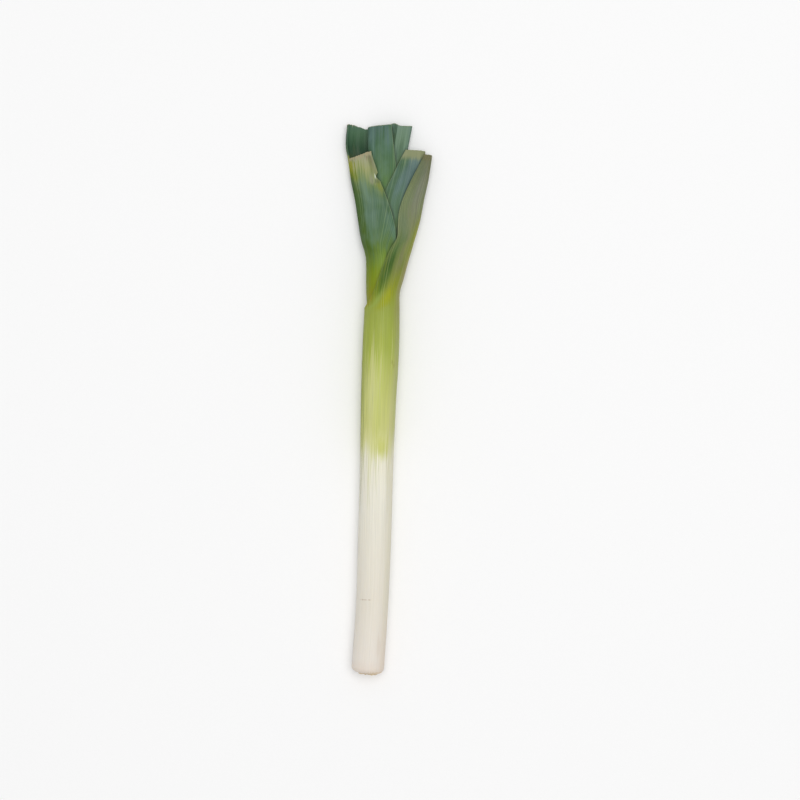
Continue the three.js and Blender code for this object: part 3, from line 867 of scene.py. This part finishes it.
class LeafSkin(Nodes):
    """Veined, waxy leaf. Each method from ground to shaded adds a layer to the colour so far."""

    def __init__(self, name, leaf, look, seed):
        super().__init__(name)
        self.leaf = leaf
        self.look = look
        self.along = self.attribute("along")
        self.half = abs(self.attribute("across"))
        self.rim = self.attribute("rim")
        self.inside = self.attribute("inside")
        turn = self.attribute("turn")
        lane = self.math("SIGN", turn) * HALVES_APART + turn

        def streaked(lanes, pace, slice_place):
            place = self.vector(lane * lanes, self.along * pace, seed + slice_place)
            return self.noise(place, 1, NOISE_DETAIL)

        self.broad = streaked(*BROAD)
        self.streaks = streaked(*STREAKS)
        self.fine = streaked(*FINE)
        self.patches = streaked(*PATCHES)
        self.find_veins(abs(turn))

    def find_veins(self, turn):
        """The ridges of the veins, each of its own strength, and the hairs between them."""
        slow, fast = (self.math("SINE", turn * wave) for wave in VEIN_WAVES)
        place = (turn + (slow + fast * FAST_WAVE) * VEIN_WARP) * VEINS_PER_HALF
        mixed = self.math("SINE", self.math("ROUND", place) ** 2 * VEIN_MIX)
        ridge = (self.math("COSINE", place * math.tau) * 0.5 + 0.5) ** VEIN_SHARPNESS
        self.veins = ridge * (mixed * (1 - PAINTED_VEIN_MEAN) + PAINTED_VEIN_MEAN)
        self.hairs = self.math("COSINE", place * (math.tau * HAIRS_PER_VEIN))

    def ground(self):
        """Colour by station, with streaks that reach further up or down than others."""
        reach = self.fade(self.along, *SHAFT_REACH) if self.leaf.shaft else BLADE_REACH
        station = self.along + (self.streaks - 0.5) * reach + (self.broad - 0.5) * reach
        body, keel, margin = (self.ramp(station, self.look[zone]) for zone in ("body", "keel", "margin"))
        keel_zone, margin_full, margin_zone = self.look["zones"]
        at_keel = self.half + (self.broad - 0.5) * KEEL_RAGGED
        color = self.mix(self.fade(at_keel, keel_zone * KEEL_FULL, keel_zone, 1, 0), body, keel)
        at_rim = self.rim + (self.broad - 0.5) * (margin_zone * MARGIN_RAGGED)
        opened = self.fade(self.along, self.leaf.cleft, self.leaf.cleft + MARGIN_START)
        near_edge = self.fade(self.rim, 0, margin_full, MARGIN_EDGE, 1) * opened
        return self.mix(self.fade(at_rim, margin_full, margin_zone, 1, 0) * near_edge, color, margin)

    def marked(self, color):
        """Single patches, ragged along the veins. Some of them are painted shade."""
        wander = self.along + (self.streaks - 0.5) * MARK_WANDER
        ragged = ((self.fine + self.streaks) * 0.5 - 0.5) * MARK_RAGGED
        for station, vein, length, width, mark_color, strength in self.look["marks"]:
            line = wander if length > SHORT_MARK else self.along
            a = (line - station) / length
            b = (self.half - vein) / width
            edge = self.math("SQRT", a * a + b * b) + ragged
            color = self.mix(self.fade(edge, *MARK_FADE, strength, 0), color, skin(mark_color))
        return color

    def veined(self, color):
        """Veins show paler where the leaf is green, between darker and lighter streaks."""
        shaft = self.leaf.shaft
        clear = self.fade(self.along, *SHAFT_VEINS) if shaft else BLADE_VEINS
        color = self.mix(self.veins * clear, color, linear(self.look["vein"]))
        contrast = self.fade(self.along, *SHAFT_CONTRAST) if shaft else 1
        tone = (self.streaks - 0.5) + (self.fine - 0.5) + self.hairs * HAIR_TONE
        return self.lit(color, tone * contrast * STREAK_TONE + 1)

    def waxed(self, color):
        """Wax bloom, rubbed off here and there."""
        bloom = self.fade(self.patches, *BLOOM_PATCHES, 0, self.look["bloom"])
        return self.mix(bloom * self.fade(self.along, *BLOOM_START), color, skin(BLOOM_COLOR))

    def edged(self, color):
        """Inner face, cut edges and dried tip."""
        color = self.mix(self.inside * INSIDE_SHARE, color, self.ramp(self.along, self.look["inside"]))
        color = self.mix(self.fade(self.rim, *RIM_FADE), color, skin(RIM_COLOR))
        length, ragged, dry_color = self.look["dry"]
        gap = self.attribute("tip") + (self.streaks - 0.5) * ragged + self.inside * (length * DRY_INSIDE)
        return self.mix(self.fade(gap, length * DRY_FULL, length, DRY_SHARE, 0), color, skin(dry_color))

    def shaded(self, color):
        """Less light beside and under older leaves."""
        depth = self.attribute("crevice") * self.fade(self.broad, *CREVICE_PATCHES)
        return self.lit(color, self.fade(depth, 0, CREVICE_FULL, 1, self.look["crevice"]))

    def build(self):
        color = self.shaded(self.edged(self.waxed(self.veined(self.marked(self.ground())))))
        relief = self.bump(self.hairs * HAIR_RELIEF + self.veins + self.fine, *SKIN_BUMP)
        depth = TRANSLUCENT if self.leaf.shaft else {}
        return self.finish(color, self.fade(self.patches, *ROUGHNESS), relief, {**SPECULAR, **depth})


# ---- Root plate ----

def root_plate_mesh():
    """The corky plate at the butt, with the stubs of its roots cut off short."""
    rng = np.random.default_rng(ROOT_SEED)
    theta = np.arange(ROOT_TURNS) * math.tau / ROOT_TURNS
    lobes = sum(size * np.sin(count * theta + start) for size, count, start in ROOT_LOBES)
    edge = ROOT_RADIUS - ROOT_EDGE + lobes
    bevel, bevel_start = ROOT_BEVEL
    bump, waves, bend = ROOT_BUMPS

    def ring(share, height):
        radius = edge * share
        return np.stack([radius * np.cos(theta), height + 0 * theta, radius * np.sin(theta)], axis=-1)

    rings = []
    for share in np.arange(ROOT_RINGS + 1) / ROOT_RINGS:
        plain = ROOT_FACE + ROOT_DOME * (1 - share ** 2) - bevel * fade(share, bevel_start, 1)
        grit = rng.uniform(-ROOT_GRIT, ROOT_GRIT, ROOT_TURNS)
        bumps = bump * np.sin(waves * share * math.pi + bend * lobes) + grit
        rings.append(ring(share, plain + bumps * (share < ROOT_ROUGH)))
    rings.append(ring(*ROOT_BACK))
    ids = tube_ids(len(rings), ROOT_TURNS)
    ids[0] = 0
    polygons = [list(dict.fromkeys(face)) for face in grid_faces(ids).tolist()]
    polygons.append(ids[-1, -2::-1].tolist())
    cloud = [np.concatenate(rings)]
    stub = [np.zeros(len(cloud[0]))]
    for k in range(STUB_COUNT):
        first = sum(len(points) for points in cloud)
        points, faces = root_stub(k, rng)
        cloud.append(points)
        stub.append(np.full(len(points), STUB_DULLEST + (1 - STUB_DULLEST) * rng.random()))
        polygons += [[i + first for i in face] for face in faces]
    local = np.concatenate(cloud)
    natural = {"stub": np.concatenate(stub), "edge": np.hypot(local[:, 0], local[:, 2]) / ROOT_RADIUS,
               "side": local[:, 0] / ROOT_RADIUS}
    return build_mesh("look_root_plate", on_butt(local), polygons, natural)


def root_stub(k, rng):
    """Points and faces of one cut root: a short, leaning peg with a hollowed end."""
    reach = STUB_SPREAD * ROOT_RADIUS * math.sqrt((k + 0.5) / STUB_COUNT)
    angle = k * GOLDEN_ANGLE + rng.uniform(-STUB_JITTER, STUB_JITTER)
    radius = rng.uniform(*STUB_RADIUS)
    length = rng.uniform(*STUB_LENGTH)
    wobble = rng.uniform(*STUB_WOBBLE, STUB_SIDES)
    lean = STUB_LEAN * reach / ROOT_RADIUS
    foot = np.array([reach * math.cos(angle), STUB_FOOT, reach * math.sin(angle)])
    way = np.array([math.cos(angle) * lean, 1, math.sin(angle) * lean])
    phi = np.arange(STUB_SIDES) * math.tau / STUB_SIDES
    circle = np.stack([np.cos(phi), 0 * phi, np.sin(phi)], axis=-1)
    rings = [foot + way * (length * up) + circle * (radius * wide * wobble)[:, None]
             for up, wide in STUB_PROFILE]
    hollow = foot + way * length * STUB_HOLLOW
    points = np.concatenate(rings + [hollow[None, :]])
    ids = tube_ids(len(rings), STUB_SIDES)
    faces = grid_faces(ids.T).tolist() + fan_faces(len(points) - 1, ids[-1]) + [ids[0, -2::-1].tolist()]
    return points, faces


def on_butt(local):
    """Turns points from the plate's own frame, with its face along +Y, onto the slanted butt."""
    leaf = LEAVES["outer_leaf"]
    tilt = math.atan(BUTT_SLANT)
    x, y, z = local.T
    cos, sin = math.cos(tilt), math.sin(tilt)
    turned = np.stack([x * cos - y * sin, -x * sin - y * cos, -z], axis=-1)
    keel, far = leaf.keel(leaf.base), leaf.far(leaf.base)
    return turned + [(keel + far) / 2, leaf.base - ROOT_GAP, (keel - far) / 2 - FLAT_DEPTH]


# Colours from one end of a range to the other.
BLOTCH_COLORS = ((200, 172, 134), (230, 212, 180))
STUB_COLORS = ((200, 174, 136), (238, 226, 200))
RIM_TAN_AND_PAINTED_LIGHT_COLORS = ((246, 236, 222), (232, 206, 164))  # on the left and on the right; painted light on the left, the butt's own tan on the right
ROOT_BLOTCH = 260  # pace of the plate's blotches, per metre
ROOT_GRAIN = (1400, 4, 0.6)  # pace, detail and roughness of its grain
BLOTCH_RANGE = (0.3, 0.7)
SIDE_RANGE = (-0.3, 0.3)
EDGE_FADE = (0.86, 0.97, 0, 0.85)  # strength of the rim's colour, painted light and tan, by share of the radius
STUB_FADE = (0, 0.2)
GRAIN_LIGHT = (0.3, 0.7, 0.72, 1.15)  # from the hollows of the grain to its tops
ROOT_BUMP = (0.6, 0.0003)
CORK_ROUGHNESS = 0.85


def root_material():
    """Dry, corky tissue: mottled tan, darker in the hollows, with paler cut ends and a rim painted lighter
    as painted light.
    """
    n = Nodes("root_skin")
    place = n.object_place()
    stub = n.attribute("stub")
    grain = n.noise(place, *ROOT_GRAIN)
    pairs = [[linear(color) for color in pair] for pair in (BLOTCH_COLORS, STUB_COLORS, RIM_TAN_AND_PAINTED_LIGHT_COLORS)]
    plate = n.mix(n.fade(n.noise(place, ROOT_BLOTCH), *BLOTCH_RANGE), *pairs[0])
    ends = n.mix(stub, *pairs[1])
    edge = n.mix(n.fade(n.attribute("side"), *SIDE_RANGE), *pairs[2])
    # painted light: the plate's rim turns paler, most on the left, against the shade on its sideways faces
    plate = n.mix(n.fade(n.attribute("edge"), *EDGE_FADE), plate, edge)
    color = n.lit(n.mix(n.fade(stub, *STUB_FADE), plate, ends), n.fade(grain, *GRAIN_LIGHT))
    return n.finish(color, CORK_ROUGHNESS, n.bump(grain, *ROOT_BUMP), SPECULAR)


# ---- Pieces ----

def make_leaves():
    set_all_droops()
    older = []
    for name, leaf in LEAVES.items():
        seed = LEAF_SEED + len(older)
        piece = leaf_mesh("look_" + name, leaf, older, seed)
        piece.data.materials.append(LeafSkin(name + "_skin", leaf, LOOKS[name], float(seed)).build())
        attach(piece, "root")
        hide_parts(name)
        older.append(leaf)


def make_root_plate():
    piece = root_plate_mesh()
    piece.data.materials.append(root_material())
    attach(piece, "root")
    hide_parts("root_plate")


make_leaves()
make_root_plate()


# ---- Stage ----

PIXEL = 1 / 1.2  # of the 800-pixel picture, in millimetres at the leek
THROAT_PIXEL_X = 382.5  # the picture's column where the leek's X is 0
STUBS_PIXEL_Y = 674  # the picture's row where its Y is 0
PICTURE = 800
LENS = 100
SENSOR = 36
LEEK_MID_Z = 14

# From here on in metres, as Blender takes them.
FLOOR_COLORS = ((250, 250, 250), (246, 246, 246))  # of the paper's fibres
FLOOR_FIBRES = 900.0  # their pace, per metre
FLOOR_ROUGHNESS = 0.9
FLOOR_BUMP = (0.05, 0.0002)
FLOOR_HALF = 8.0
FLOOR_Z = -0.0003
WORLD_STRENGTH = 0.51
SOFTBOX_PLACE = (0.3, 0.3, 4.0)
SOFTBOX_SIZE = 2.8
SOFTBOX_POWER = 95


def make_camera():
    data = bpy.data.cameras.new("camera")
    data.lens = LENS
    data.sensor_width = SENSOR
    camera = put_in_scene("camera", data)
    x = (PICTURE / 2 - THROAT_PIXEL_X) * PIXEL
    y = (STUBS_PIXEL_Y - PICTURE / 2) * PIXEL
    distance = PICTURE * PIXEL * LENS / SENSOR
    camera.location = (ORIGIN_X + x * MM, ORIGIN_Y + y * MM, (distance + LEEK_MID_Z) * MM)
    bpy.context.scene.camera = camera


def make_floor():
    mesh = bpy.data.meshes.new("floor")
    corners = [(x * FLOOR_HALF, y * FLOOR_HALF, FLOOR_Z) for x, y in ((-1, -1), (1, -1), (1, 1), (-1, 1))]
    mesh.from_pydata(corners, [], [(0, 1, 2, 3)])
    n = Nodes("floor_paper")
    fibres = n.noise(n.object_place(), FLOOR_FIBRES)
    color = n.mix(fibres, *(linear(color) for color in FLOOR_COLORS))
    mesh.materials.append(n.finish(color, FLOOR_ROUGHNESS, n.bump(fibres, *FLOOR_BUMP), {}))
    floor = put_in_scene("floor", mesh)


def make_light():
    world = bpy.data.worlds.new("studio")
    world.use_nodes = True
    background = world.node_tree.nodes["Background"]
    background.inputs["Color"].default_value = (1, 1, 1, 1)
    background.inputs["Strength"].default_value = WORLD_STRENGTH
    bpy.context.scene.world = world
    data = bpy.data.lights.new("softbox", "AREA")
    data.shape = "SQUARE"
    data.size = SOFTBOX_SIZE
    data.energy = SOFTBOX_POWER
    softbox = put_in_scene("softbox", data)
    softbox.location = SOFTBOX_PLACE
    softbox.rotation_euler = (-softbox.location).to_track_quat("-Z", "Y").to_euler()


make_camera()
make_floor()
make_light()
bpy.context.scene.view_settings.view_transform = "Standard"
